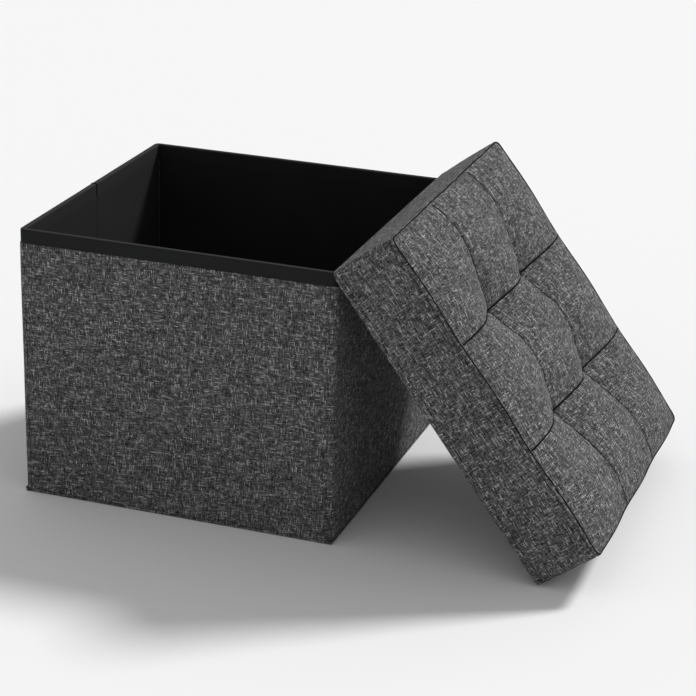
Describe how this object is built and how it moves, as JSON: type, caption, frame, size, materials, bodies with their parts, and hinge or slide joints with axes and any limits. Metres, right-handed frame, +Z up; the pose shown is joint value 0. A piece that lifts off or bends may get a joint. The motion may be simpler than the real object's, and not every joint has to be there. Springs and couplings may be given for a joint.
{
  "type": "ottoman with storage",
  "caption": "Square fabric-covered storage ottoman that folds flat, with a tufted padded lid leaning against the open box.",
  "frame": {"origin": "on the floor, under the middle of the box", "axes": "+Z up; -Y out of the front panel; +X towards the side that the lid leans on"},
  "size_m": [0.6587, 0.385, 0.3588],
  "materials": {
    "linen_cover": "matte",
    "black_lining": "matte",
    "rim_binding": "matte",
    "base_cloth": "matte",
    "fibreboard": "matte",
    "foam": "matte",
    "tuft_cord": "matte",
    "washer_plastic": "matte"
  },
  "bodies": {
    "front_and_base": {"base_board": "fibreboard", "base_cover": "base_cloth", "base_lining": "black_lining", "front_board": "fibreboard", "front_cover": "linen_cover", "front_lining": "black_lining", "front_rim_band": "rim_binding"},
    "right_front": {"right_front_board": "fibreboard", "right_front_cover": "linen_cover", "right_front_lining": "black_lining", "right_front_rim_band": "rim_binding"},
    "right_rear": {"right_rear_board": "fibreboard", "right_rear_cover": "linen_cover", "right_rear_lining": "black_lining", "right_rear_rim_band": "rim_binding"},
    "back": {"back_board": "fibreboard", "back_cover": "linen_cover", "back_lining": "black_lining", "back_rim_band": "rim_binding"},
    "left_front": {"left_front_board": "fibreboard", "left_front_cover": "linen_cover", "left_front_lining": "black_lining", "left_front_rim_band": "rim_binding"},
    "left_rear": {"left_rear_board": "fibreboard", "left_rear_cover": "linen_cover", "left_rear_lining": "black_lining", "left_rear_rim_band": "rim_binding"},
    "lid": {"lid_board": "fibreboard", "lid_foam": "foam", "lid_front_cover": "linen_cover", "lid_front_skirt": "fibreboard", "lid_lining": "black_lining", "lid_lower_cover": "linen_cover", "lid_lower_skirt": "fibreboard", "lid_rear_cover": "linen_cover", "lid_rear_skirt": "fibreboard", "lid_skirt_lining": "black_lining", "lid_top_cover": "linen_cover", "lid_upper_cover": "linen_cover", "lid_upper_skirt": "fibreboard", "tuft_cords": "tuft_cord", "tuft_washers": "washer_plastic"}
  },
  "joints": [
    {"name": "side_fold", "type": "hinge", "parent": "front_and_base", "child": "right_front", "pos_m": [0.1735, -0.1725, 0], "axis": [0, 0, 1], "range_deg": [0, 88]},
    {"name": "right_crease", "type": "hinge", "parent": "right_front", "child": "right_rear", "pos_m": [0.181, 0, 0], "axis": [0, 0, 1], "range_deg": [-176, 0]},
    {"name": "right_back_corner", "type": "hinge", "parent": "right_rear", "child": "back", "pos_m": [0.1735, 0.1725, 0], "axis": [0, 0, 1], "range_deg": [0, 88]},
    {"name": "left_front_corner", "type": "hinge", "parent": "front_and_base", "child": "left_front", "pos_m": [-0.1735, -0.1725, 0], "axis": [0, 0, 1], "range_deg": [-88, 0]},
    {"name": "left_crease", "type": "hinge", "parent": "left_front", "child": "left_rear", "pos_m": [-0.181, 0, 0], "axis": [0, 0, 1], "range_deg": [0, 176]},
    {"name": "lid_tip", "type": "hinge", "parent": "front_and_base", "child": "lid", "pos_m": [0.41058, 0, 0], "axis": [0, 1, 0], "range_deg": [0, 36.4]}
  ],
  "couplings": [
    {"joint": "right_crease", "follows": "side_fold", "ratio": -2},
    {"joint": "right_back_corner", "follows": "side_fold", "ratio": 1},
    {"joint": "left_front_corner", "follows": "side_fold", "ratio": -1},
    {"joint": "left_crease", "follows": "side_fold", "ratio": 2}
  ]
}
